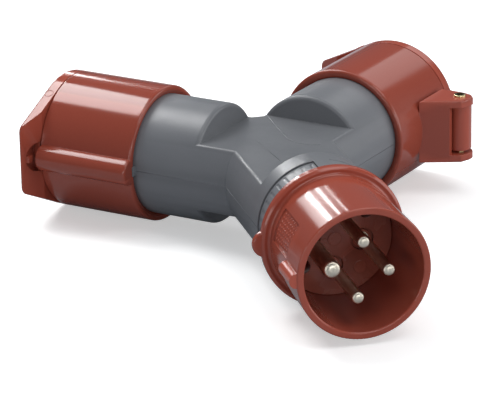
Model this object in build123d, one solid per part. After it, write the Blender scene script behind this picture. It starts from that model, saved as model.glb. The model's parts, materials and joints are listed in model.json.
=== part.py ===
from build123d import *
import os
from math import cos, radians, sin, sqrt

# Three-way industrial power adaptor: one red four-pin plug feeding two red socket outlets with sprung lids.
#
# Row frame: millimetres, +Z up. The plug, the left arm and the right arm have axes that lie in the plane
# Z = 0 and meet at the origin. The plug points along -Y and each arm is turned 45 degrees from +Y.
# Every connector is drawn in its own frame first: local +Z runs outward along its axis and local +X points
# to its key. The plug and the two arms are then placed by the planes PLUG, LEFT and RIGHT. A name such as
# ARM_END is a distance along the connector's axis, a name that ends in _R is a radius.

# ---- grey body ----------------------------------------------------------------------------------------
ARM_ANGLE = 45          # each arm from +Y, degrees
BODY_R = 26.3           # outside of the three grey tubes
BODY_WALL = 2.2
DECK_Z = 15.0           # half height of the flat centre
ARM_FACE = 26.6         # where an arm swells from the flat centre to its full tube
ARM_END = 58.2          # end of the grey arm, inside the socket's collar
NECK_RING = 51.5        # start of the full ring at the plug end
NECK_END = 79.8
EDGE_ROUND = 1.8        # rounding of the deck's edges and of the steps
WEB_DEPTH = 9.0         # web that carries the deck across between the arms
LUG_HALF = 2.0          # lug that stops a socket turning on its arm
LUG_REACH = 2.2         # how far the lug stands out of the tube
LUG_FIT = 0.1           # clearance round the lug
WINDOW_START = 63.0     # step down to the locking band
WINDOW_HALF_ANGLE = 85
WINDOW_R = 25.1
BAND_R = 25.65
BAND_GAP = 0.45         # between the band's back edge and the window
FLUTE_R = 3.0
FLUTE_DEPTH = 0.12
FLUTE_PITCH = 9         # degrees

# ---- plug ---------------------------------------------------------------------------------------------
PIN_TWIST = 6           # pin set turned from the key, degrees
PIN_CIRCLE_R = 11.65
LINE_PIN_R = 2.5
EARTH_PIN_R = 3.5
PIN_TIP = 123.6
PIN_BACK = 67.9         # where a pin meets its terminal
PIN_SHOULDER = 0.3      # each pin is this much thicker where the carrier holds it
PLUG_MOUTH = 126.8
PLUG_FLOOR = 85.0       # front of the pin carrier
PLUG_CARRIER_PLATE = 3.0
PLUG_CARRIER_R = 24.1
PLUG_CARRIER_BACK = 68.0
SHROUD_R = 27.5
SHROUD_WALL = 3.0
FLANGE_R = 30.2
FLANGE_BACK = 80.0
FLANGE_FRONT = 84.2
SKIRT_R = 24.2          # spigot behind the flange, inside the neck
SKIRT_BORE_R = 22.4
SKIRT_BACK = 66.0
SKIRT_FIT = 0.2         # clearance round the spigot
KEY_R = 3.1             # half width of the plug's key
KEY_REACH = 30.4        # how far the key stands from the axis
KEY_START = 110.5
LOBE_R = 5.6            # round ear on the flange behind the key
LOBE_CENTRE = 28.0
PANEL_R = 26.0          # sunk panel beside the key
PANEL_START = 88.0
PANEL_END = 109.5
PANEL_MIDDLE = -22.5    # degrees from the key
PANEL_HALF_ANGLE = 15.5

# ---- sockets ------------------------------------------------------------------------------------------
COLLAR = 56.15          # back of a socket's red housing
HOUSING_R = 29.95
HOUSING_BORE_R = 27.9
MOUTH = 102.4           # front of a socket's housing
SOCKET_FLOOR = 59.4     # bottom of the slot that takes a plug's shroud
SOCKET_SKIRT_R = 23.5   # spigot inside the grey arm
SOCKET_SKIRT_BORE_R = 21.9
SOCKET_SKIRT_BACK = 50.0
RIB_R = 5.8             # long key rib outside the housing
RIB_CENTRE = 29.2
CARRIER_R = 24.0
CARRIER_FRONT = 99.4
CARRIER_BACK = 52.0
CONTACT_WALL = 1.5
CONTACT_GRIP = 0.03     # how much wider a contact is than its pin
CONTACT_FRONT = 95.5
CONTACT_BACK = 51.5     # where a contact meets its terminal
CONTACT_SLOT = 0.8
CONTACT_SLOT_MIDDLE = 88.6

# ---- lids and hinges ----------------------------------------------------------------------------------
LID_BACK = 102.6
LID_FRONT = 108.1
LID_SKIN = 2.3
LID_BORE_R = 26.2       # hollow behind the lid's skin
LIP_TIP = 38.0          # finger lip of the lid, from the axis
LIP_HALF = 14.9
LIP_CORNER = 4.0
LIP_ANGLE = 67.2        # where the lip leaves the round of the lid, degrees from the key
LIP_UNDERCUT = 27.5     # where the lip starts to thin
LIP_TIP_BACK = 107.0
NOTCH_R = 6.5           # hollow in the lip behind the key rib
GASKET_R = 28.95
GASKET_BORE_R = 27.25
GASKET_DEPTH = 1.4      # how far the gasket sits in the lid
GASKET_FIT = 0.05

HINGE_OUT = 90.6        # hinge axis, along the arm
HINGE_SIDE = -41.0      # hinge axis, on the side away from the key
HINGE_PIN_R = 2.1
HINGE_PIN_HOLLOW_R = 1.45
HINGE_GAP = 11.0        # half width between the hinge ears
EAR = 3.4
KNUCKLE_R = 5.0
KNUCKLE_TOP = 10.9
KNUCKLE_BOTTOM = -9.7
CLEAR = 0.06            # radial running clearance
SPRING_WIRE_R = 0.35
SPRING_COIL_R = 2.85
SPRING_PITCH = 1.25
SPRING_LENGTH = 10.0
SPRING_ROOM_R = 3.4

# ---- wires, terminals and screws ----------------------------------------------------------------------
WIRE_R = 1.4
WIRE_END = 49.0         # inside a socket's terminal
FERRULE_BACK = 56.4
FERRULE_R = 2.05
TERMINAL_R = 4.3
TERMINAL_BACK = 58.5
TERMINAL_BORE_R = 2.1
PLUG_GRUB = 63.2        # grub screws, along the plug
SOCKET_TERMINAL_R = 4.6
SOCKET_TERMINAL_BACK = 42.0
SOCKET_GRUB = 46.2      # grub screws, along an arm
GRUB_R = 1.2
GRUB_FIT = 0.05

SCREW_R = 1.6           # screws that hold the two body shells together
SCREW_HEAD_R = 2.6
SCREW_HEAD = 2.2
SCREW_SEAT = -9.0       # height of the screw heads' seats
SCREW_TOP = 9.0         # height the screws reach
BOSS_R = 4.2
BOSS_SITES = ((18.4, -40.0), (-18.4, -40.0), (0.0, 24.5))
CARRIER_SCREW_R = 1.4
CARRIER_SCREW_HEAD = 1.8
CARRIER_SCREW_CIRCLE_R = 17.0
CARRIER_SCREW_ANGLES = (45, 225)
BLANK_ANGLES = (135, 315)   # raised round marks that match the screws

FAR = 60.0              # reaches past any connector, for cutting
MATCH = 0.01            # how closely an edge has to lie where it is looked for


def frame(direction, key):
    return Plane(origin=(0, 0, 0), x_dir=key, z_dir=direction)


SIN_A = sin(radians(ARM_ANGLE))
COS_A = cos(radians(ARM_ANGLE))
PLUG = frame((0, -1, 0), (-1, 0, 0))
LEFT = frame((-SIN_A, COS_A, 0), (-COS_A, -SIN_A, 0))
RIGHT = frame((SIN_A, COS_A, 0), (-COS_A, SIN_A, 0))
LIMBS = ((LEFT, ARM_FACE, ARM_END), (RIGHT, ARM_FACE, ARM_END), (PLUG, NECK_RING, NECK_END))
DECK_HALF = sqrt(BODY_R**2 - DECK_Z**2)     # half width of the deck on each tube


# ---- small builders -----------------------------------------------------------------------------------
def place(plane, shape):
    return plane.location * shape


def rod(radius, start, end, x=0.0, y=0.0):
    """Solid cylinder along local Z from start to end."""
    return Pos(x, y, (start + end) / 2) * Cylinder(radius, end - start)


def tube(outer, inner, start, end):
    return rod(outer, start, end) - rod(inner, start, end)


def block(x0, x1, y0, y1, z0, z1):
    return Pos((x0 + x1) / 2, (y0 + y1) / 2, (z0 + z1) / 2) * Box(x1 - x0, y1 - y0, z1 - z0)


def across(x, z, radius, length, middle=0.0):
    """Cylinder along local Y, with its middle at the given height."""
    return Pos(x, middle, z) * Rot(90, 0, 0) * Cylinder(radius, length)


def round_edges(shape):
    return shape.edges().filter_by(GeomType.CIRCLE)


def lathe(points):
    """Turned solid from (radius, height) or (radius, height, corner radius) points, in order."""
    face = make_face(Polyline(*[(p[0], 0, p[1]) for p in points], close=True))
    for p in points:
        if len(p) == 3:
            corner = face.vertices().sort_by_distance((p[0], 0, p[1]))[0]
            face = fillet(corner, p[2])
    return revolve(face, Axis.Z)


def side_profile(points, rounded, radius):
    """Face in the local XZ plane from (distance to the hinge side, height) points, some corners rounded."""
    face = make_face(Polyline(*[(-side, 0, out) for side, out in points], close=True))
    corners = [face.vertices().sort_by_distance((-side, 0, out))[0] for side, out in rounded]
    return fillet(corners, radius)


def polar(radius, angle):
    return radius * cos(radians(angle)), radius * sin(radians(angle))


def sector(half_angle, start, end):
    """Pie slice about local +X, used to keep part of a ring."""
    tip_a = polar(FAR, half_angle)
    tip_b = polar(FAR, -half_angle)
    outline = make_face(Polyline((0, 0), tip_a, (2 * FAR, tip_a[1]), (2 * FAR, tip_b[1]), tip_b, close=True))
    return Pos(0, 0, start) * extrude(outline, end - start)


def pan_screw(radius, head_radius, head_height, length):
    """Screw along local -Z with its head's top at the origin and a cross recess."""
    head = Pos(0, 0, -head_height / 2) * Cylinder(head_radius, head_height)
    head = fillet(round_edges(head).sort_by(Axis.Z)[-1], head_height * 0.4)
    shank = Pos(0, 0, -head_height - length / 2) * Cylinder(radius, length)
    long = head_radius * 1.1
    wide = head_radius * 0.28
    recess = Box(long, wide, head_height) + Box(wide, long, head_height)
    return head + shank - recess


# ---- grey body ----------------------------------------------------------------------------------------
def limb(radius, half_height, step, end):
    """One tube as a solid: flattened above and below as far as its step, full height beyond."""
    solid = rod(radius, 0, end)
    solid -= block(-FAR, FAR, half_height, FAR, -1, step)
    return solid - block(-FAR, FAR, -FAR, -half_height, -1, step)


def limb_edges(solid, step):
    """The arcs where a tube rises out of the deck, and the deck's long edges."""
    arcs = [e for e in round_edges(solid) if abs(e.arc_center.Z - step) < MATCH]
    lines = solid.edges().filter_by(GeomType.LINE)
    return arcs + [e for e in lines if abs(abs(e.center().X) - DECK_HALF) < MATCH]


def crotch_web():
    """Carries the deck straight across between the two arms."""
    back = ARM_FACE * COS_A + DECK_HALF * SIN_A
    half = ARM_FACE * SIN_A - DECK_HALF * COS_A + 0.4
    web = block(-half, half, back - WEB_DEPTH, back, -DECK_Z, DECK_Z)
    return fillet(web.faces().sort_by(Axis.Y)[-1].edges().filter_by(Axis.X), EDGE_ROUND)


def body_outside():
    outside = crotch_web()
    for plane, step, end in LIMBS:
        solid = limb(BODY_R, DECK_Z, step, end)
        outside += place(plane, fillet(limb_edges(solid, step), EDGE_ROUND))
    return outside


def body_inside():
    inside = Part()
    for plane, step, end in LIMBS:
        inside += place(plane, limb(BODY_R - BODY_WALL, DECK_Z - BODY_WALL, step + BODY_WALL, end + 1))
    return inside


def screw_boss(x, y, outside):
    return (Pos(x, y, 0) * Cylinder(BOSS_R, FAR)) & outside


def screw_hole(x, y):
    head_room = Pos(x, y, SCREW_SEAT - FAR / 2) * Cylinder(SCREW_HEAD_R + 0.3, FAR)
    return head_room + Pos(x, y, 0) * Cylinder(SCREW_R * 0.98, 2 * SCREW_TOP)


def body_shells():
    outside = body_outside()
    solid = outside - body_inside()
    solid -= place(PLUG, rod(SKIRT_R + SKIRT_FIT, NECK_RING + 9, NECK_END + 1))
    window = tube(BODY_R + 2, WINDOW_R, WINDOW_START, NECK_END + 1)
    solid -= place(PLUG, window & sector(WINDOW_HALF_ANGLE, WINDOW_START, NECK_END + 1))
    lug = block(BODY_R - 1.5, BODY_R + LUG_REACH, -LUG_HALF, LUG_HALF, COLLAR - 0.4, ARM_END)
    for plane in (LEFT, RIGHT):
        solid += place(plane, lug)
    for x, y in BOSS_SITES:
        solid += screw_boss(x, y, outside)
    for x, y in BOSS_SITES:
        solid -= screw_hole(x, y)
    above = Pos(0, 0, 2 * FAR) * Box(8 * FAR, 8 * FAR, 4 * FAR)
    return solid & above, solid - above


def body_screws():
    screw = pan_screw(SCREW_R * 0.95, SCREW_HEAD_R, SCREW_HEAD, SCREW_TOP - SCREW_SEAT - 1.0)
    turned = Pos(0, 0, SCREW_SEAT - SCREW_HEAD) * Rot(180, 0, 0) * screw
    return [Pos(x, y, 0) * turned for x, y in BOSS_SITES]


def locking_band():
    """Thin sleeve that shows in the neck's window and covers the plug's snap tabs."""
    ring = tube(BAND_R, WINDOW_R + 0.05, WINDOW_START + BAND_GAP, NECK_END - 0.2)
    ring &= sector(WINDOW_HALF_ANGLE - 0.5, WINDOW_START, NECK_END)
    last = WINDOW_HALF_ANGLE // FLUTE_PITCH * FLUTE_PITCH
    for angle in range(-last, last + 1, FLUTE_PITCH):
        x, y = polar(BAND_R - FLUTE_DEPTH + FLUTE_R, angle)
        ring -= rod(FLUTE_R, WINDOW_START + 2.0, NECK_END, x, y)
    return place(PLUG, ring)


# ---- plug ---------------------------------------------------------------------------------------------
def plug_angles():
    """Angle of the earth pin, then of the three line pins, in the plug's frame."""
    return [-PIN_TWIST + 90 * i for i in range(4)]


def pin_radius(index):
    return EARTH_PIN_R if index == 0 else LINE_PIN_R


def plug_shroud():
    inner = SHROUD_R - SHROUD_WALL
    back_face = PLUG_FLOOR - PLUG_CARRIER_PLATE
    shell = lathe([
        (inner, PLUG_MOUTH, 0.7), (SHROUD_R, PLUG_MOUTH, 0.7), (SHROUD_R - 0.9, FLANGE_FRONT + 3),
        (SHROUD_R - 1.0, FLANGE_FRONT - 0.6, 1.2), (FLANGE_R - 1.2, FLANGE_FRONT - 0.2, 0.5),
        (FLANGE_R, FLANGE_FRONT - 1.2, 0.8), (FLANGE_R, FLANGE_BACK, 0.8), (SKIRT_R, FLANGE_BACK),
        (SKIRT_R, SKIRT_BACK), (SKIRT_BORE_R, SKIRT_BACK), (SKIRT_BORE_R, back_face),
        (inner - 0.2, back_face),
    ])
    front = PLUG_MOUTH - 0.4
    key = rod(KEY_R, KEY_START, front, KEY_REACH - KEY_R)
    key += block(inner + 1, KEY_REACH - KEY_R, -KEY_R, KEY_R, KEY_START, front)
    key -= rod(inner + 0.1, FLANGE_FRONT, PLUG_MOUTH + 1)
    lobe = rod(LOBE_R, FLANGE_BACK + 0.6, FLANGE_FRONT - 0.9, LOBE_CENTRE)
    lobe = fillet(round_edges(lobe), 0.8) - rod(SHROUD_R - 1.5, SKIRT_BACK, FLANGE_FRONT)
    panel = tube(SHROUD_R + 1, PANEL_R, PANEL_START, PANEL_END)
    panel &= Rot(0, 0, PANEL_MIDDLE) * sector(PANEL_HALF_ANGLE, PANEL_START, PANEL_END)
    return place(PLUG, shell + key + lobe - panel)


def pin_carrier():
    """Disc that holds the pins, with a sunk collar round each and low round marks between them."""
    face = PLUG_FLOOR
    disc = rod(PLUG_CARRIER_R, face - PLUG_CARRIER_PLATE, face)
    disc += rod(SKIRT_BORE_R - 0.1, PLUG_CARRIER_BACK, face - PLUG_CARRIER_PLATE)
    for i, angle in enumerate(plug_angles()):
        x, y = polar(PIN_CIRCLE_R, angle)
        disc -= rod(pin_radius(i) + 2.3, face - 1.6, face + 1, x, y)
        disc += rod(pin_radius(i) + 1.3, face - 1.7, face - 0.6, x, y)
        disc -= rod(pin_radius(i) + PIN_SHOULDER, CARRIER_BACK, face + 1, x, y)
    disc += rod(2.8, face - 0.1, face + 0.3)
    for angle in BLANK_ANGLES:
        x, y = polar(CARRIER_SCREW_CIRCLE_R, angle - PIN_TWIST)
        disc += rod(2.7, face - 0.1, face + 0.3, x, y)
    for angle in CARRIER_SCREW_ANGLES:
        x, y = polar(CARRIER_SCREW_CIRCLE_R, angle - PIN_TWIST)
        disc -= rod(3.0, face - 6, face + 1, x, y)
        disc -= rod(CARRIER_SCREW_R, PLUG_CARRIER_BACK - 1, face, x, y)
    return place(PLUG, disc)


def carrier_screw_group(plane, seat, twist, length):
    screw = pan_screw(CARRIER_SCREW_R, SCREW_HEAD_R, CARRIER_SCREW_HEAD, length)
    group = []
    for angle in CARRIER_SCREW_ANGLES:
        x, y = polar(CARRIER_SCREW_CIRCLE_R, angle + twist)
        group.append(place(plane, Pos(x, y, seat + CARRIER_SCREW_HEAD) * screw))
    return group


def grub_hole(height):
    return Pos(0, 0, height) * Rot(0, 90, 0) * rod(GRUB_R + GRUB_FIT, 0, 6)


def plug_pin(index):
    """Round-nosed contact pin with its screw terminal behind the carrier."""
    radius = pin_radius(index)
    x, y = polar(PIN_CIRCLE_R, plug_angles()[index])
    shaft = rod(radius, PIN_BACK, PIN_TIP)
    shaft = fillet(round_edges(shaft).sort_by(Axis.Z)[-1], radius * 0.93)
    shaft += rod(radius + PIN_SHOULDER, PIN_BACK, PLUG_FLOOR - 0.6)
    head = rod(TERMINAL_R, TERMINAL_BACK, PIN_BACK) - rod(TERMINAL_BORE_R, TERMINAL_BACK - 1, PIN_BACK - 1.4)
    head -= grub_hole(PLUG_GRUB)
    return place(PLUG, Pos(x, y, 0) * Rot(0, 0, plug_angles()[index]) * (shaft + head))


def terminal_screws(plane, angles, height):
    """Grub screws that clamp the wires, one per terminal, pointing away from the connector's axis."""
    top = 5.4
    grub = rod(GRUB_R, 2.3, top) - Pos(0, 0, top) * Box(2.6, 0.5, 1.2)
    group = []
    for angle in angles:
        x, y = polar(PIN_CIRCLE_R, angle)
        group.append(place(plane, Pos(x, y, height) * Rot(0, 0, angle) * Rot(0, 90, 0) * grub))
    return group


# ---- sockets ------------------------------------------------------------------------------------------
def socket_angles():
    return [PIN_TWIST + 90 * i for i in range(4)]


def socket_housing():
    arm_bore = BODY_R + CLEAR
    arm_stop = ARM_END + 0.05
    shell = lathe([
        (HOUSING_BORE_R, MOUTH, 0.4), (HOUSING_R, MOUTH, 0.5), (HOUSING_R, COLLAR, 1.3),
        (HOUSING_R - 2.0, COLLAR, 0.7), (arm_bore, COLLAR + 0.9), (arm_bore, arm_stop),
        (SOCKET_SKIRT_R, arm_stop), (SOCKET_SKIRT_R, SOCKET_SKIRT_BACK, 0.6),
        (SOCKET_SKIRT_BORE_R, SOCKET_SKIRT_BACK, 0.4), (SOCKET_SKIRT_BORE_R, SOCKET_FLOOR),
        (HOUSING_BORE_R, SOCKET_FLOOR),
    ])
    rib = rod(RIB_R, COLLAR, MOUTH, RIB_CENTRE)
    shell += fillet(round_edges(rib), 1.2) - rod(HOUSING_BORE_R + 0.6, COLLAR - 1, MOUTH + 1)
    lug_half = LUG_HALF + LUG_FIT
    shell -= block(BODY_R - 1.3, BODY_R + LUG_REACH + LUG_FIT, -lug_half, lug_half, COLLAR - 1, arm_stop)
    shell -= rod(KEY_R + 0.3, SOCKET_FLOOR + 12, MOUTH + 1, KEY_REACH - KEY_R)
    return shell + hinge_bracket()


def hinge_bracket():
    """Two ears and the web between them, on the side away from the key."""
    h = -HINGE_SIDE
    root = HOUSING_BORE_R + 0.7
    nose = [(h + 4.0, 84.6), (h + 5.9, HINGE_OUT - 1.0), (h + 5.9, HINGE_OUT + 1.6), (h + 3.6, 95.2)]
    outline = [(root, 75.3), (h - 0.5, 82.0), *nose, (h - 1.0, 96.6), (root, 96.9)]
    solid = extrude(side_profile(outline, nose, 1.6), HINGE_GAP + EAR, both=True)
    sides = solid.faces().sort_by(Axis.Y)
    solid = fillet(sides[0].edges() + sides[-1].edges(), 0.9)
    solid -= block(-h - 12, -h + 6.2, -HINGE_GAP, HINGE_GAP, 84.1, MOUTH + 8)
    solid -= block(-h - 12, -h + 0.6, -HINGE_GAP, HINGE_GAP, 70, MOUTH + 8)
    solid -= across(HINGE_SIDE, HINGE_OUT, HINGE_PIN_R, FAR)
    return solid - rod(HOUSING_BORE_R + 0.6, FAR, MOUTH + 8)


def contact_carrier():
    """Insulating block with a stepped hole for each contact and two screw holes."""
    body = rod(CARRIER_R, SOCKET_FLOOR, CARRIER_FRONT)
    body += rod(SOCKET_SKIRT_BORE_R - 0.1, CARRIER_BACK, SOCKET_FLOOR)
    body = chamfer(round_edges(body).sort_by(Axis.Z)[-1], 0.8)
    for i, angle in enumerate(socket_angles()):
        x, y = polar(PIN_CIRCLE_R, angle)
        body -= rod(pin_radius(i) + 0.5, CONTACT_SLOT_MIDDLE, CARRIER_FRONT + 1, x, y)
        body -= rod(pin_radius(i) + CONTACT_WALL + 0.1, CARRIER_BACK - 1, CONTACT_FRONT + 0.1, x, y)
    for angle in CARRIER_SCREW_ANGLES:
        x, y = polar(CARRIER_SCREW_CIRCLE_R, angle + PIN_TWIST)
        body -= rod(2.9, CARRIER_FRONT - 4, CARRIER_FRONT + 1, x, y)
        body -= rod(CARRIER_SCREW_R, CARRIER_FRONT - 19.4, CARRIER_FRONT, x, y)
    return body


def contact_sleeve(index):
    """Slotted spring sleeve that grips a pin, with its screw terminal behind."""
    outer = pin_radius(index) + CONTACT_WALL
    solid_end = CONTACT_BACK + 10.5
    x, y = polar(PIN_CIRCLE_R, socket_angles()[index])
    sleeve = tube(outer, pin_radius(index) + CONTACT_GRIP, solid_end, CONTACT_FRONT)
    sleeve += rod(outer, CONTACT_BACK - 0.5, solid_end)
    sleeve -= Pos(0, 0, CONTACT_SLOT_MIDDLE) * Box(CONTACT_SLOT, 20, 14)
    head = rod(SOCKET_TERMINAL_R, SOCKET_TERMINAL_BACK, CONTACT_BACK)
    head -= rod(TERMINAL_BORE_R, SOCKET_TERMINAL_BACK - 1, CONTACT_BACK - 1.5)
    head -= grub_hole(SOCKET_GRUB)
    return Pos(x, y, 0) * Rot(0, 0, socket_angles()[index]) * (sleeve + head)


# ---- lids ---------------------------------------------------------------------------------------------
def lid_plate():
    """Round cover with the finger lip, its outer rim rounded."""
    outline = make_face(Polyline(
        polar(HOUSING_R, LIP_ANGLE), (LIP_TIP, LIP_HALF), (LIP_TIP, -LIP_HALF), polar(HOUSING_R, -LIP_ANGLE),
        close=True,
    ))
    outline = fillet(outline.vertices().sort_by(Axis.X)[-2:], LIP_CORNER)
    plate = rod(HOUSING_R, LID_BACK, LID_FRONT)
    plate += Pos(0, 0, LID_BACK) * extrude(outline, LID_FRONT - LID_BACK)
    return fillet(plate.faces().sort_by(Axis.Z)[-1].edges(), 1.3)


def lip_undercut():
    """Wedge that thins the finger lip from behind."""
    below = LID_BACK - 1
    wedge = make_face(Polyline(
        (LIP_UNDERCUT, 0, below), (LIP_UNDERCUT, 0, LID_BACK), (LIP_TIP, 0, LIP_TIP_BACK),
        (LIP_TIP + 5, 0, LIP_TIP_BACK), (LIP_TIP + 5, 0, below), close=True,
    ))
    return extrude(wedge, FAR, both=True)


def lid():
    below = LID_BACK - 1
    notch_depth = LID_FRONT - 1.7
    plate = lid_plate() + lid_knuckle() - lip_undercut()
    plate -= rod(NOTCH_R, below, notch_depth, RIB_CENTRE) - rod(GASKET_R + 0.45, below - 1, LID_FRONT)
    plate -= rod(LID_BORE_R, below, LID_FRONT - LID_SKIN)
    plate -= tube(GASKET_R + GASKET_FIT, GASKET_BORE_R - GASKET_FIT, below, LID_BACK + GASKET_DEPTH)
    plate += block(32.6, 35.6, -1.4, 1.4, LID_BACK + 2, LID_FRONT - 1.5)
    dish = lathe([(0, -0.5), (24.0, -0.5), (24.8, 1), (0, 1)])
    return plate - Pos(0, 0, LID_FRONT) * dish


def lid_knuckle():
    """Hinge barrel and the arm that carries the lid."""
    h = -HINGE_SIDE
    length = KNUCKLE_TOP - KNUCKLE_BOTTOM
    middle = (KNUCKLE_TOP + KNUCKLE_BOTTOM) / 2
    seat = LID_BACK + 0.05
    back = [(h + 4.6, 93.4), (h + 2.6, 96.6), (36.5, 101.8), (30.0, LID_FRONT - 2.4)]
    outline = [(26.8, seat), (31.0, seat), (35.0, LID_BACK - 4.6), (h - KNUCKLE_R, HINGE_OUT),
               (h + KNUCKLE_R, HINGE_OUT), *back, (26.8, LID_FRONT - 0.9)]
    arm = extrude(side_profile(outline, back, 1.8), length / 2, both=True)
    arm = Pos(0, middle, 0) * arm + across(HINGE_SIDE, HINGE_OUT, KNUCKLE_R, length, middle)
    arm -= across(HINGE_SIDE, HINGE_OUT, HINGE_PIN_R + CLEAR, FAR)
    return arm - across(HINGE_SIDE, HINGE_OUT, SPRING_ROOM_R, SPRING_LENGTH + 3, middle - 0.5)


def lid_gasket():
    return tube(GASKET_R, GASKET_BORE_R, MOUTH, LID_BACK + GASKET_DEPTH)


def hinge_pin():
    """Hollow rivet through the ears, with a rolled head at each end."""
    reach = HINGE_GAP + EAR
    top = rod(HINGE_PIN_R + 0.65, reach, reach + 0.9)
    top = fillet(round_edges(top).sort_by(Axis.Z)[-1], 0.5)
    rivet = rod(HINGE_PIN_R, -reach, reach) + top + rod(HINGE_PIN_R + 0.5, -reach - 0.6, -reach)
    rivet -= rod(HINGE_PIN_HOLLOW_R, reach - 6, reach + 6)
    return Pos(HINGE_SIDE, 0, HINGE_OUT) * Rot(-90, 0, 0) * rivet


def lid_spring():
    """Torsion coil round the hinge pin, inside the knuckle."""
    path = Helix(pitch=SPRING_PITCH, height=SPRING_LENGTH, radius=SPRING_COIL_R)
    coil = sweep(Plane(path @ 0, z_dir=path % 0) * Circle(SPRING_WIRE_R), path=path)
    return Pos(HINGE_SIDE, 0, HINGE_OUT) * Rot(90, 0, 0) * Pos(0, 0, 0.5 - SPRING_LENGTH / 2) * coil


# ---- wires --------------------------------------------------------------------------------------------
def wire(start, tilt, middle, end, plane):
    """Insulated core from a twin ferrule, through the flat centre, into a socket terminal."""
    x, y = end
    straight = SOCKET_TERMINAL_BACK - 2.0
    finish = plane.from_local_coords(Vector(x, y, straight))
    path = Spline(start, middle, finish, tangents=[(0, 1, tilt), plane.z_dir])
    core = sweep(Plane(path @ 0, z_dir=path % 0) * Circle(WIRE_R), path=path)
    return core + place(plane, rod(WIRE_R, straight, WIRE_END, x, y))


def wire_pair(index):
    """The two cores of one pole: one to each arm."""
    x, y = polar(PIN_CIRCLE_R, plug_angles()[index])
    start = PLUG.from_local_coords(Vector(x, y, FERRULE_BACK - 0.25))
    middle_height = (2.4, -8.2, -2.4, 8.2)[index]
    side_by_side = WIRE_R + 0.05
    cores = []
    for plane, offset in ((LEFT, -side_by_side), (RIGHT, side_by_side)):
        end = polar(PIN_CIRCLE_R, socket_angles()[(4 - index) % 4])
        begin = (start.X + offset, start.Y, start.Z)
        middle = (begin[0] * 0.5 + offset * 1.6, -16.0, middle_height)
        cores.append(wire(begin, -0.016 * start.Z, middle, end, plane))
    return cores


def twin_ferrules():
    """Crimped ends that take two cores into one plug terminal."""
    items = []
    for angle in plug_angles():
        x, y = polar(PIN_CIRCLE_R, angle)
        collar = block(x - 3.0, x + 3.0, y - 1.6, y + 1.6, FERRULE_BACK + 0.05, TERMINAL_BACK - 0.05)
        collar = fillet(collar.edges().filter_by(Axis.Z), 1.5)
        items.append(place(PLUG, collar + rod(FERRULE_R, TERMINAL_BACK - 0.5, PIN_BACK - 1.9, x, y)))
    return items


# ---- write the parts ----------------------------------------------------------------------------------
def group(solids):
    return Compound(children=[s for item in solids for s in item.solids()])


def plug_nodes():
    upper, lower = body_shells()
    seat = PLUG_FLOOR - 6
    nodes = {
        "body_upper_shell": upper,
        "body_lower_shell": lower,
        "body_screws": group(body_screws()),
        "neck_locking_band": locking_band(),
        "plug_shroud": plug_shroud(),
        "plug_pin_carrier": pin_carrier(),
        "plug_carrier_screws": group(carrier_screw_group(PLUG, seat, -PIN_TWIST, 8.0)),
        "plug_terminal_screws": group(terminal_screws(PLUG, plug_angles(), PLUG_GRUB)),
        "twin_ferrules": group(twin_ferrules()),
    }
    for i, pole in enumerate(("earth", "line_1", "line_2", "line_3")):
        nodes["earth_pin" if i == 0 else f"line_pin_{i}"] = plug_pin(i)
        nodes[f"{pole}_wires"] = group(wire_pair(i))
    return nodes


def socket_nodes(side, plane):
    screws = carrier_screw_group(plane, CARRIER_FRONT - 4, PIN_TWIST, 10.0)
    return {
        f"socket_housing_{side}": place(plane, socket_housing()),
        f"contact_carrier_{side}": place(plane, contact_carrier()),
        f"carrier_screws_{side}": group(screws),
        f"earth_contact_{side}": place(plane, contact_sleeve(0)),
        f"line_contacts_{side}": group([place(plane, contact_sleeve(i)) for i in (1, 2, 3)]),
        f"terminal_screws_{side}": group(terminal_screws(plane, socket_angles(), SOCKET_GRUB)),
        f"lid_{side}": place(plane, lid()),
        f"lid_gasket_{side}": place(plane, lid_gasket()),
        f"hinge_pin_{side}": place(plane, hinge_pin()),
        f"lid_spring_{side}": place(plane, lid_spring()),
    }


def main():
    os.makedirs("parts", exist_ok=True)
    nodes = plug_nodes() | socket_nodes("left", LEFT) | socket_nodes("right", RIGHT)
    for name, shape in nodes.items():
        export_step(shape, f"parts/{name}.step")


main()
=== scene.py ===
"""Looks for the power splitter: materials, fine moulding marks, floor, lights and camera."""
import json
from math import cos, pi, radians, sin, sqrt

import bmesh
import bpy
from mathutils import Matrix, Vector


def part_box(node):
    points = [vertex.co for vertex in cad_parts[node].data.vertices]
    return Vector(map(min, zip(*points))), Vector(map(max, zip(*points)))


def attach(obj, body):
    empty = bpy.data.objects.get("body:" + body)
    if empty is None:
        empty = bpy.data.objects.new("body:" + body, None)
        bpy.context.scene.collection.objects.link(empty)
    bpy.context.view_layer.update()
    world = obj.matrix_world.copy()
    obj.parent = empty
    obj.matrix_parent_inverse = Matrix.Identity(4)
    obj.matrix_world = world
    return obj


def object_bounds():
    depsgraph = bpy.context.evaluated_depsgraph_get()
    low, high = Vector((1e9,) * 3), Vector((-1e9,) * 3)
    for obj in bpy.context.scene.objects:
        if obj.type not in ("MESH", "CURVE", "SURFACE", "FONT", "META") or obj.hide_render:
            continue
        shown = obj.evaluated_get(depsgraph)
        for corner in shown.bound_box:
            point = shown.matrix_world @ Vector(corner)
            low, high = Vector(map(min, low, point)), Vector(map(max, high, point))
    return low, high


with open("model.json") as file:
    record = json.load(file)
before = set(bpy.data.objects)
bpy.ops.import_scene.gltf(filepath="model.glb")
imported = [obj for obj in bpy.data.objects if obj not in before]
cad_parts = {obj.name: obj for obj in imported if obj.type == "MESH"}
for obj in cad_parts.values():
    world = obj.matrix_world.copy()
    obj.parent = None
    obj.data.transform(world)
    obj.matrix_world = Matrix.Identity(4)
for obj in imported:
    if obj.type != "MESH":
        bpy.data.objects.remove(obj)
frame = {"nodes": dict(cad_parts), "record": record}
cad_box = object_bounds()
MM = 0.001

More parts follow.
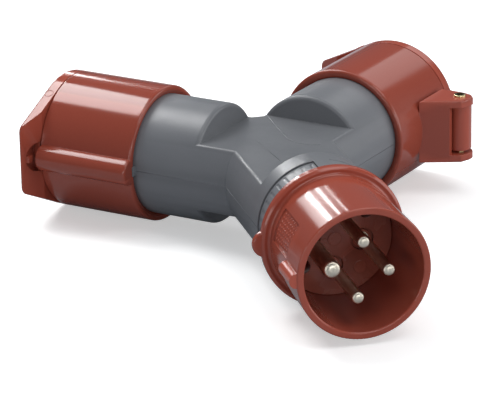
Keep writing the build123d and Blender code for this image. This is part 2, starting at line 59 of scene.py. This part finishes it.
# ---- colours, linear ----------------------------------------------------------------------------------
RED = (0.330, 0.066, 0.040)
DARK_RED = (0.290, 0.075, 0.048)
GREY = (0.150, 0.156, 0.168)
NICKEL = (0.78, 0.72, 0.60)
BRASS = (0.80, 0.66, 0.36)
ZINC = (0.60, 0.61, 0.60)
SPRING = (0.30, 0.30, 0.31)
RUBBER = (0.018, 0.018, 0.019)
TIN = (0.66, 0.63, 0.58)
GREEN = (0.07, 0.25, 0.03)
YELLOW = (0.70, 0.60, 0.03)
BROWN = (0.10, 0.045, 0.02)
BLACK = (0.012, 0.012, 0.013)
LIGHT_GREY = (0.22, 0.22, 0.23)
FLOOR_SEEN = (0.90, 0.90, 0.90)
FLOOR_BOUNCE = (0.42, 0.44, 0.47)
FLOOR_LIFT = 0.45
ROOM = (0.86, 0.95, 1.08)
ROOM_STRENGTH = 0.12
RED_ROUGHNESS = 0.13
DARK_RED_ROUGHNESS = 0.20
NOSE_BLUNTING = 1.9     # how far a pin's shading is turned toward its axis

# ---- directions ---------------------------------------------------------------------------------------
DIAGONAL = sqrt(0.5)
UP = Vector((0, 0, 1))
LEFT_ARM = Vector((-DIAGONAL, DIAGONAL, 0))
RIGHT_ARM = Vector((DIAGONAL, DIAGONAL, 0))
PLUG = Vector((0, -1, 0))
LEFT_TURN, RIGHT_TURN, PLUG_TURN = -135, -45, 90    # degrees that bring each axis round to +X


# ---- material building --------------------------------------------------------------------------------
class Shader:
    """A principled material and the helpers that add its procedural detail.

    Patterns are laid out in the object's own space, turned about Z so that X runs along the moulding.
    """

    def __init__(self, name, color, roughness, metallic=0.0, turn=0):
        self.material = bpy.data.materials.new(name)
        self.material.use_nodes = True
        self.tree = self.material.node_tree
        self.main = self.tree.nodes["Principled BSDF"]
        self.color = color
        self.set("Base Color", (*color, 1.0))
        self.set("Roughness", roughness)
        self.set("Metallic", metallic)
        self.here = self.tree.nodes.new("ShaderNodeTexCoord").outputs["Object"]
        rotate = self.node("ShaderNodeVectorRotate", rotation_type="Z_AXIS")
        rotate.inputs["Angle"].default_value = radians(turn)
        self.link(self.here, rotate.inputs["Vector"])
        self.place = rotate.outputs["Vector"]
        self.height = None

    def set(self, name, value):
        self.main.inputs[name].default_value = value

    def node(self, kind, **settings):
        made = self.tree.nodes.new(kind)
        for key, value in settings.items():
            setattr(made, key, value)
        return made

    def link(self, source, target):
        self.tree.links.new(source, target)

    def noise(self, scale, detail=3.0, stretch=(1, 1, 1)):
        mapping = self.node("ShaderNodeMapping")
        mapping.inputs["Scale"].default_value = stretch
        self.link(self.place, mapping.inputs["Vector"])
        made = self.node("ShaderNodeTexNoise")
        made.inputs["Scale"].default_value = scale
        made.inputs["Detail"].default_value = detail
        self.link(mapping.outputs["Vector"], made.inputs["Vector"])
        return made.outputs["Fac"]

    def ramp(self, source, low, high, start=0.35, end=0.65):
        made = self.node("ShaderNodeMapRange")
        made.inputs["From Min"].default_value = start
        made.inputs["From Max"].default_value = end
        made.inputs["To Min"].default_value = low
        made.inputs["To Max"].default_value = high
        self.link(source, made.inputs["Value"])
        return made.outputs["Result"]

    def tint(self, factor, other):
        """Mixes the present base colour toward another, by a factor output."""
        mix = self.node("ShaderNodeMix", data_type="RGBA")
        present = self.main.inputs["Base Color"]
        if present.is_linked:
            self.link(present.links[0].from_socket, mix.inputs["A"])
        else:
            mix.inputs["A"].default_value = present.default_value
        mix.inputs["B"].default_value = (*other, 1.0)
        self.link(factor, mix.inputs["Factor"])
        self.link(mix.outputs["Result"], present)

    def rough(self, factor):
        self.link(factor, self.main.inputs["Roughness"])

    def round_edges(self, radius_mm):
        """Softens the light on sharp edges, as a mould's worn corners do."""
        made = self.node("ShaderNodeBevel", samples=6)
        made.inputs["Radius"].default_value = radius_mm * MM
        self.height = made.outputs["Normal"]
        self.link(self.height, self.main.inputs["Normal"])

    def bump(self, factor, depth_mm, strength=1.0):
        made = self.node("ShaderNodeBump")
        made.inputs["Strength"].default_value = strength
        made.inputs["Distance"].default_value = depth_mm * MM
        self.link(factor, made.inputs["Height"])
        if self.height is not None:
            self.link(self.height, made.inputs["Normal"])
        self.height = made.outputs["Normal"]
        self.link(self.height, self.main.inputs["Normal"])

    def edges(self, low, high):
        """Zero on flats, rising to one where an edge stands proud; it places the painted edge highlights.
        """
        geometry = self.node("ShaderNodeNewGeometry")
        return self.ramp(geometry.outputs["Pointiness"], 0.0, 1.0, low, high)

    def product(self, a, amount):
        made = self.node("ShaderNodeMath", operation="MULTIPLY")
        made.inputs[1].default_value = amount
        self.link(a, made.inputs[0])
        return made.outputs["Value"]

    def vector(self, operation, a, b):
        made = self.node("ShaderNodeVectorMath", operation=operation)
        self.link(a, made.inputs[0])
        made.inputs[1].default_value = b
        return made.outputs["Vector"]


def shade(color, factor):
    return tuple(c * factor for c in color)


def gloss_plastic(name, color, roughness, turn):
    """Polished moulding: flow streaks along it, slight sink, fine scuffs, and edges painted paler as a
    highlight.
    """
    s = Shader(name, color, roughness, turn=turn)
    s.set("IOR", 1.5)
    s.round_edges(0.35)
    s.tint(s.ramp(s.noise(30.0, 4.0, (0.25, 1, 1)), 0.0, 0.35), shade(color, 0.82))
    s.tint(s.ramp(s.noise(1200.0, 2.0), 0.0, 0.12), shade(color, 1.2))
    # Painted highlight: proud edges are lightened in the colour itself.
    s.tint(s.product(s.edges(0.51, 0.58), 0.45), shade(color, 1.6))
    s.rough(s.ramp(s.noise(45.0, 6.0, (0.2, 1, 1)), roughness * 0.6, roughness * 1.7))
    s.bump(s.noise(60.0, 2.0, (0.06, 1, 1)), 0.35, 0.30)
    s.bump(s.noise(420.0, 3.0, (0.04, 1, 1)), 0.03, 0.35)
    s.bump(s.noise(2600.0, 2.0), 0.008, 0.4)
    return s


def satin_plastic(name, color, roughness, turn=0):
    """Finely textured moulding with a soft grain, and edges painted paler as a highlight."""
    s = Shader(name, color, roughness, turn=turn)
    s.set("IOR", 1.5)
    s.round_edges(0.40)
    s.tint(s.ramp(s.noise(25.0, 4.0), 0.0, 0.22), shade(color, 0.86))
    s.tint(s.ramp(s.noise(1500.0, 2.0), 0.0, 0.16), shade(color, 1.25))
    # Painted highlight: proud edges are lightened in the colour itself.
    s.tint(s.product(s.edges(0.51, 0.60), 0.45), shade(color, 1.5))
    s.rough(s.ramp(s.noise(60.0, 5.0), roughness * 0.85, roughness * 1.2))
    s.bump(s.noise(300.0, 3.0, (0.05, 1, 1)), 0.02, 0.35)
    s.bump(s.noise(2400.0, 3.0), 0.02, 0.45)
    return s


def metal(name, color, roughness, streaks=(1, 1, 1)):
    s = Shader(name, color, roughness, 1.0)
    s.tint(s.ramp(s.noise(220.0, 4.0), 0.0, 0.35), shade(color, 0.72))
    s.rough(s.ramp(s.noise(500.0, 4.0, streaks), roughness * 0.7, roughness * 1.7))
    s.bump(s.noise(1400.0, 2.0, streaks), 0.010, 0.5)
    return s


def turned_metal(node):
    """Plated pin with lathe rings round its own axis, which spread each light into a fan on its nose.

    The nose is shaded blunter than its dome, and the straight shank is left alone.
    """
    low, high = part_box(node)
    middle = (low + high) / 2
    s = Shader("turned_" + node, NICKEL, 0.38, 1.0)
    s.tint(s.ramp(s.noise(300.0, 4.0), 0.0, 0.30), shade(NICKEL, 0.80))
    s.set("Anisotropic", 0.75)
    from_axis = s.vector("SUBTRACT", s.here, tuple(middle))
    flat = s.vector("MULTIPLY", from_axis, (1, 0, 1))
    s.link(s.vector("CROSS_PRODUCT", flat, (0, 1, 0)), s.main.inputs["Tangent"])
    geometry = s.node("ShaderNodeNewGeometry")
    blunted = s.node("ShaderNodeVectorMath", operation="NORMALIZE")
    s.link(s.vector("MULTIPLY", geometry.outputs["Normal"], (1, NOSE_BLUNTING, 1)), blunted.inputs[0])
    s.height = blunted.outputs["Vector"]
    rings = s.node("ShaderNodeTexWave", wave_type="RINGS", rings_direction="Y")
    rings.inputs["Scale"].default_value = 700.0
    s.link(from_axis, rings.inputs["Vector"])
    s.bump(rings.outputs["Fac"], 0.001, 0.3)
    s.rough(s.ramp(s.noise(300.0, 3.0), 0.35, 0.43))
    return s


def rubber(name, color):
    s = Shader(name, color, 0.62)
    s.tint(s.ramp(s.noise(400.0), 0.0, 0.4), shade(color, 2.2))
    s.bump(s.noise(3000.0, 2.0), 0.02, 0.6)
    return s


def striped_insulation(name, color, stripe):
    s = satin_plastic(name, color, 0.45)
    wave = s.node("ShaderNodeTexWave")
    wave.inputs["Scale"].default_value = 90.0
    s.link(s.place, wave.inputs["Vector"])
    s.tint(s.ramp(wave.outputs["Fac"], 0.0, 1.0, 0.55, 0.6), stripe)
    return s


MATERIALS = {
    "grey_plastic": satin_plastic("grey_plastic", GREY, 0.37, LEFT_TURN),
    "nickel_plate": metal("nickel_plate", NICKEL, 0.20),
    "brass": metal("brass", BRASS, 0.12, (1, 1, 0.2)),
    "zinc_steel": metal("zinc_steel", ZINC, 0.30),
    "spring_steel": metal("spring_steel", SPRING, 0.32),
    "seal_rubber": rubber("seal_rubber", RUBBER),
    "tinned_copper": metal("tinned_copper", TIN, 0.35),
    "green_yellow_insulation": striped_insulation("green_yellow_insulation", GREEN, YELLOW),
    "brown_insulation": satin_plastic("brown_insulation", BROWN, 0.45),
    "black_insulation": satin_plastic("black_insulation", BLACK, 0.42),
    "grey_insulation": satin_plastic("grey_insulation", LIGHT_GREY, 0.45),
}
# The red mouldings are all one plastic. The factors stand for uneven light that the lamps don't give.
RED_MOULDINGS = (("left", LEFT_TURN, 0.92), ("right", RIGHT_TURN, 0.97), ("plug", PLUG_TURN, 1.08))
for side, turn, factor in RED_MOULDINGS:
    name = f"red_plastic_{side}"
    MATERIALS[name] = gloss_plastic(name, shade(RED, factor), RED_ROUGHNESS, turn)
    name = f"dark_red_plastic_{side}"
    MATERIALS[name] = gloss_plastic(name, DARK_RED, DARK_RED_ROUGHNESS, turn)


# ---- CAD nodes ----------------------------------------------------------------------------------------
def side_of(node):
    return "left" if node.endswith("_left") else "right" if node.endswith("_right") else "plug"


def finish_for(node, slot_name):
    """The material for a CAD node, from the slot that the record gives it."""
    if node == "earth_pin" or node.startswith("line_pin"):
        return turned_metal(node)
    if slot_name.endswith("red_plastic"):
        return MATERIALS[f"{slot_name}_{side_of(node)}"]
    return MATERIALS[slot_name]


for part in frame["record"]["subparts"]:
    cad_node = frame["nodes"][part["node"]]
    cad_node.data.materials.clear()
    cad_node.data.materials.append(finish_for(part["node"], part["material_slot"]).material)


# ---- fine moulding marks ------------------------------------------------------------------------------
# Sizes in this section are in millimetres, like the frame's own dimensions.
BODY_R = 26.3
DECK_Z = 15.0
COLLAR = 55.6           # along an arm, just short of its red collar
WINDOW_START = 62.6     # along the plug, just short of the locking band
LID_BACK, LID_FRONT = 102.6, 108.1
LIP_ROOT = Vector((11.61, 27.61))   # ends of the lip's upper side wall, across the arm
LIP_END = Vector((38.0, 14.9))
LIP_MARK_PLACE = 0.2    # along that wall, as a share of its length
LIP_MARK_R = 1.9
PANEL_R = 26.0
INSERT_LINE_R = 0.16    # half-thicknesses of the raised lines
FLOW_LINE_R = 0.07
FLASH_R = 0.13
LIP_LINE_R = 0.14
BEAD_SIDES = 8
PIP_SIDES = 8
PIP_ROWS = 8
PIP_START, PIP_PITCH = 90.4, 2.4            # along the plug
PIP_TURNS = range(-35, -9, 4)               # round the plug, degrees
PIP_PROFILE = ((0.62, -0.1), (0.50, 0.16), (0.22, 0.28))    # radius and height of each ring of a pip


def bead(name, points, radius, up, body, material):
    """Thin raised line through the points, half sunk in its surface. It may close on itself."""
    mesh = bmesh.new()
    closed = (points[0] - points[-1]).length < 1e-6
    if closed:
        points = points[:-1]
    last = len(points) - 1
    rings = []
    for i, point in enumerate(points):
        if closed:
            ahead = points[(i + 1) % len(points)] - points[i - 1]
        else:
            ahead = points[min(i + 1, last)] - points[max(i - 1, 0)]
        side = ahead.cross(up).normalized()
        over = side.cross(ahead).normalized()
        ring = []
        for k in range(BEAD_SIDES):
            angle = 2 * pi * k / BEAD_SIDES
            ring.append(mesh.verts.new((point + (side * cos(angle) + over * sin(angle)) * radius) * MM))
        rings.append(ring)
    if closed:
        rings.append(rings[0])
    for near, far in zip(rings, rings[1:]):
        for k in range(BEAD_SIDES):
            after = (k + 1) % BEAD_SIDES
            mesh.faces.new((near[k], near[after], far[after], far[k]))
    if not closed:
        mesh.faces.new(rings[0])
        mesh.faces.new(rings[-1])
    bmesh.ops.recalc_face_normals(mesh, faces=mesh.faces)
    add_piece(name, mesh, body, material)


def add_piece(name, mesh, body, material):
    data = bpy.data.meshes.new(name)
    mesh.to_mesh(data)
    mesh.free()
    data.polygons.foreach_set("use_smooth", [True] * len(data.polygons))
    data.materials.append(material.material)
    piece = bpy.data.objects.new(name, data)
    bpy.context.scene.collection.objects.link(piece)
    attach(piece, body)


def arc(centre, radius, first, last, count, across, upward):
    """Points on an arc, its angles in degrees from one direction toward the other."""
    points = []
    for i in range(count + 1):
        angle = radians(first + (last - first) * i / count)
        points.append(centre + (across * cos(angle) + upward * sin(angle)) * radius)
    return points


def deck_lines():
    """Shallow lines that the mould's inserts leave on the flat top."""
    x_axis, y_axis = Vector((1, 0, 0)), Vector((0, 1, 0))
    bend = arc(Vector((17.0, 0.5, DECK_Z)), 13.0, 180, 262, 14, x_axis, y_axis)
    grey = MATERIALS["grey_plastic"]
    points = [Vector((4.0, 32.0, DECK_Z)), *bend]
    bead("deck_insert_line", points, INSERT_LINE_R, UP, "adaptor", grey)
    straight = [Vector((-9.0, 1.0, DECK_Z)), Vector((-6.6, -28.0, DECK_Z))]
    bead("deck_flow_line", straight, FLOW_LINE_R, UP, "adaptor", grey)


def parting_lines():
    """Flash where the two body shells meet, on each side of the plug and between the arms."""
    grey = MATERIALS["grey_plastic"]
    bend = BODY_R * (1 / DIAGONAL - 1)
    for name, sign in (("left", -1), ("right", 1)):
        arm = Vector((sign * DIAGONAL, DIAGONAL, 0))
        outward = Vector((sign * DIAGONAL, -DIAGONAL, 0)) * BODY_R
        points = [arm * COLLAR + outward, arm * bend + outward, Vector((sign * BODY_R, -WINDOW_START, 0))]
        bead("parting_line_" + name, points, FLASH_R, UP, "adaptor", grey)
    inward = Vector((DIAGONAL, DIAGONAL, 0)) * BODY_R
    crotch = Vector((0, BODY_R / DIAGONAL, 0))
    far_right = RIGHT_ARM * COLLAR + Vector((-inward.x, inward.y, 0))
    points = [LEFT_ARM * COLLAR + inward, crotch, far_right]
    bead("parting_line_rear", points, FLASH_R, UP, "adaptor", grey)


def ring_mark():
    """Short raised line round the neck, beyond the end of the window."""
    centre = PLUG * WINDOW_START
    points = arc(centre, BODY_R, 80, 50, 12, Vector((1, 0, 0)), UP)
    grey = MATERIALS["grey_plastic"]
    bead("neck_ring_line", points, INSERT_LINE_R, PLUG, "adaptor", grey)


def lip_marks():
    """Round ejector mark on the upper side wall of each lid's finger lip."""
    along = (LIP_END - LIP_ROOT).normalized()
    spot = LIP_ROOT + (LIP_END - LIP_ROOT) * LIP_MARK_PLACE
    for name, arm in (("left", LEFT_ARM), ("right", RIGHT_ARM)):
        key = Vector((-DIAGONAL, arm.x, 0))
        centre = key * spot.x + UP * spot.y + arm * (LID_BACK + LID_FRONT) / 2
        slope = key * along.x + UP * along.y
        points = arc(centre, LIP_MARK_R, 0, 360, 24, slope, arm)
        material = MATERIALS["red_plastic_" + name]
        outward = slope.cross(arm)
        bead("lip_ejector_mark_" + name, points, LIP_LINE_R, outward, name + "_lid", material)


def panel_pips():
    """Rows of small raised pips that give grip in the sunk panel beside the plug's key."""
    mesh = bmesh.new()
    for row in range(PIP_ROWS):
        for turn in PIP_TURNS:
            outward = Vector((-cos(radians(turn)), 0, -sin(radians(turn))))
            base = outward * PANEL_R + PLUG * (PIP_START + PIP_PITCH * row)
            round_side = outward.cross(PLUG)
            rings = []
            for radius, height in PIP_PROFILE:
                centre = base + outward * height
                points = arc(centre, radius, 0, 360 - 360 / PIP_SIDES, PIP_SIDES - 1, round_side, PLUG)
                rings.append([mesh.verts.new(point * MM) for point in points])
            for near, far in zip(rings, rings[1:]):
                for k in range(PIP_SIDES):
                    after = (k + 1) % PIP_SIDES
                    mesh.faces.new((near[k], near[after], far[after], far[k]))
            mesh.faces.new(rings[0])
            mesh.faces.new(rings[-1])
    bmesh.ops.recalc_face_normals(mesh, faces=mesh.faces)
    add_piece("shroud_panel_pips", mesh, "adaptor", MATERIALS["red_plastic_plug"])


deck_lines()
parting_lines()
ring_mark()
lip_marks()
panel_pips()


# ---- floor, lights, camera ----------------------------------------------------------------------------
def camera_sees(tree, seen, hidden):
    """A mix that gives the first shader to the camera and the second to every other ray."""
    path = tree.nodes.new("ShaderNodeLightPath")
    mix = tree.nodes.new("ShaderNodeMixShader")
    tree.links.new(path.outputs["Is Camera Ray"], mix.inputs["Fac"])
    tree.links.new(hidden, mix.inputs[1])
    tree.links.new(seen, mix.inputs[2])
    return mix.outputs["Shader"]


def make_floor():
    """A pale floor that stays pale round the object, and throws little light up on its underside."""
    bpy.ops.mesh.primitive_plane_add(size=6.0, location=(0, 0, cad_box[0][2]))
    floor = bpy.context.object
    floor.name = "floor"
    s = Shader("pale_floor", FLOOR_SEEN, 0.7)
    s.tint(s.ramp(s.noise(3.0), 0.0, 1.0), shade(FLOOR_SEEN, 0.985))
    s.set("Emission Color", (1.0, 1.0, 1.0, 1.0))
    s.set("Emission Strength", FLOOR_LIFT)
    dull = s.node("ShaderNodeBsdfDiffuse")
    dull.inputs["Color"].default_value = (*FLOOR_BOUNCE, 1.0)
    output = s.tree.nodes["Material Output"].inputs["Surface"]
    s.link(camera_sees(s.tree, s.main.outputs["BSDF"], dull.outputs["BSDF"]), output)
    floor.data.materials.append(s.material)


def make_world():
    """White to the camera, and a dim cool room to the object, so that its shaded sides stay dark."""
    world = bpy.data.worlds.new("studio")
    world.use_nodes = True
    tree = world.node_tree
    seen = tree.nodes["Background"]
    seen.inputs["Color"].default_value = (1.0, 1.0, 1.0, 1.0)
    seen.inputs["Strength"].default_value = 1.0
    room = tree.nodes.new("ShaderNodeBackground")
    room.inputs["Color"].default_value = (*ROOM, 1.0)
    room.inputs["Strength"].default_value = ROOM_STRENGTH
    tree.links.new(
        camera_sees(tree, seen.outputs["Background"], room.outputs["Background"]),
        tree.nodes["World Output"].inputs["Surface"],
    )
    bpy.context.scene.world = world


def softbox(name, place, width, height, power, turn=0.0):
    """A rectangular lamp aimed at the object, turned about its own axis by so many degrees."""
    light = bpy.data.lights.new(name, "AREA")
    light.shape = "RECTANGLE"
    light.size = width
    light.size_y = height
    light.energy = power
    lamp = bpy.data.objects.new(name, light)
    aim = (-Vector(place)).to_track_quat("-Z", "Y").to_matrix().to_4x4()
    lamp.matrix_world = Matrix.Translation(place) @ aim @ Matrix.Rotation(radians(turn), 4, "Z")
    bpy.context.scene.collection.objects.link(lamp)


def make_camera():
    azimuth, elevation, roll = radians(-14.47), radians(19.7), radians(-1.1)
    distance, shift_right, shift_up = 1.3413, -0.01249, -0.0115
    back = Vector((sin(azimuth) * cos(elevation), -cos(azimuth) * cos(elevation), sin(elevation)))
    right = (-back).cross(UP).normalized()
    up = right.cross(-back)
    place = back * distance + right * shift_right + up * shift_up
    turned_right = right * cos(roll) + up * sin(roll)
    turned_up = up * cos(roll) - right * sin(roll)
    lens = bpy.data.cameras.new("camera")
    lens.sensor_width = 36.0
    lens.lens = 225.8
    camera = bpy.data.objects.new("camera", lens)
    basis = Matrix((turned_right, turned_up, back)).transposed().to_4x4()
    camera.matrix_world = Matrix.Translation(place) @ basis
    bpy.context.scene.collection.objects.link(camera)
    bpy.context.scene.camera = camera


make_floor()
make_world()
softbox("overhead_rear", (-0.42, 0.62, 1.0), 0.72, 0.46, 8.5, 50)
softbox("overhead_front", (0.40, -0.55, 1.2), 0.9, 0.5, 4.6)
softbox("overhead", (0.0, 0.05, 1.4), 1.0, 0.8, 4.0)
softbox("rear_wide", (-0.16, 1.15, 0.46), 0.50, 0.16, 1.0)
softbox("rear_left_slot", (-0.20, 1.15, 0.47), 0.05, 0.22, 0.75)
softbox("rear_mid_slot", (-0.02, 1.17, 0.45), 0.035, 0.22, 0.55)
softbox("rear_right_slot", (0.12, 1.16, 0.44), 0.02, 0.22, 0.25)
softbox("front", (0.1, -1.5, 0.35), 0.7, 0.4, 3.3)
softbox("front_right", (1.1, -0.9, 0.3), 1.0, 0.7, 3.6)
softbox("front_left", (-1.1, -0.9, 0.2), 0.6, 0.4, 2.4)
softbox("right", (1.3, -0.2, 0.3), 0.9, 0.7, 4.0)
softbox("rear_right", (0.9, 0.9, 0.9), 0.7, 0.7, 1.7)
make_camera()
bpy.context.scene.view_settings.view_transform = "Standard"
